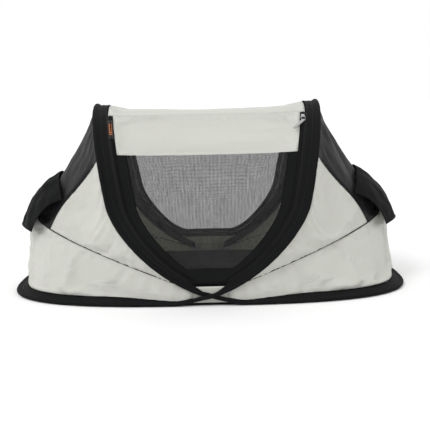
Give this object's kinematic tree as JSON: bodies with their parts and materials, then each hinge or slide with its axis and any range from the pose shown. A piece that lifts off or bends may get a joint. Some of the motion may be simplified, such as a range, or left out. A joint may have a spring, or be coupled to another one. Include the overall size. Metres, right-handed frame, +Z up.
{
  "type": "pop-up travel cot tent",
  "caption": "Pop-up travel cot tent: oval spring-hoop base, two crossing arches, cream end walls, mesh windows, zipped mesh door and mattress.",
  "frame": {"origin": "middle of the base at floor level, under the point half way between the two crossings", "axes": "+X along the length to the right-hand end, +Z up, the door faces -Y"},
  "size_m": [1.198, 0.684, 0.5632],
  "materials": {
    "cream_cloth": "woven polyester, matt, soft wrinkles",
    "black_cloth": "woven polyester with a slight sheen",
    "black_mesh": "fine knitted mosquito mesh",
    "zip_tape": "woven tape with a nylon coil",
    "label_woven": "woven black label with plain orange stripes",
    "floor_cloth": "coated floor cloth",
    "mattress_cover": "soft black cover",
    "spring_steel": "spring temper, dull",
    "ferrule_metal": "crimped",
    "zip_metal": "silver lacquer, satin"
  },
  "bodies": {
    "left_half": {"left_base_wire": "spring_steel", "left_arch_wire": "spring_steel", "left_wire_ferrule": "ferrule_metal", "left_base_sleeve": "black_cloth", "left_arch_sleeve": "black_cloth", "left_front_panel": "cream_cloth", "left_rear_panel": "cream_cloth", "left_lower_panel": "cream_cloth", "left_window": "black_mesh", "left_zip_tape": "zip_tape", "label": "label_woven", "roof": "cream_cloth", "rear_mesh": "black_mesh", "rear_gusset": "cream_cloth", "floor_sheet": "floor_cloth", "mattress": "mattress_cover", "front_crossing": "black_cloth", "rear_crossing": "black_cloth", "front_skirt": "cream_cloth", "rear_skirt": "cream_cloth"},
    "right_half": {"right_base_wire": "spring_steel", "right_arch_wire": "spring_steel", "right_wire_ferrule": "ferrule_metal", "right_base_sleeve": "black_cloth", "right_arch_sleeve": "black_cloth", "right_front_panel": "cream_cloth", "right_rear_panel": "cream_cloth", "right_lower_panel": "cream_cloth", "right_window": "black_mesh", "right_zip_tape": "zip_tape"},
    "door": {"door_band": "cream_cloth", "door_mesh": "black_mesh", "door_border": "black_cloth"},
    "slider": {"zip_slider": "zip_metal"},
    "pull": {"zip_link": "zip_metal", "zip_tab": "zip_metal"},
    "flap_left": {"left_flap": "black_cloth"},
    "flap_right": {"right_flap": "black_cloth"}
  },
  "joints": [
    {"name": "fold", "type": "hinge", "parent": "left_half", "child": "right_half", "pos_m": [0, 0, 0.026], "axis": [0, -1, 0], "range_deg": [0, 50], "stiffness_Nm_per_rad": 1.5, "deforming": ["roof", "rear_mesh", "rear_gusset", "floor_sheet", "mattress", "front_crossing", "rear_crossing", "front_skirt", "rear_skirt", "door_band", "door_mesh", "door_border"]},
    {"name": "door_open", "type": "hinge", "parent": "left_half", "child": "door", "pos_m": [0, -0.12712, 0.5273], "axis": [1, 0, 0], "range_deg": [-115, 0]},
    {"name": "zip_run", "type": "hinge", "parent": "right_half", "child": "slider", "pos_m": [0.238, 0, 0.282], "axis": [-0.9833, 0, 0.1822], "range_deg": [-52, 0]},
    {"name": "pull_swing", "type": "hinge", "parent": "slider", "child": "pull", "pos_m": [0.28079, -0.15714, 0.51417], "axis": [1, 0, 0], "range_deg": [-140, 0]},
    {"name": "left_flap_lift", "type": "hinge", "parent": "left_half", "child": "flap_left", "pos_m": [-0.465, 0, 0.357], "axis": [0, -1, 0], "range_deg": [-65, 0]},
    {"name": "right_flap_lift", "type": "hinge", "parent": "right_half", "child": "flap_right", "pos_m": [0.465, 0, 0.357], "axis": [0, 1, 0], "range_deg": [-65, 0]}
  ]
}
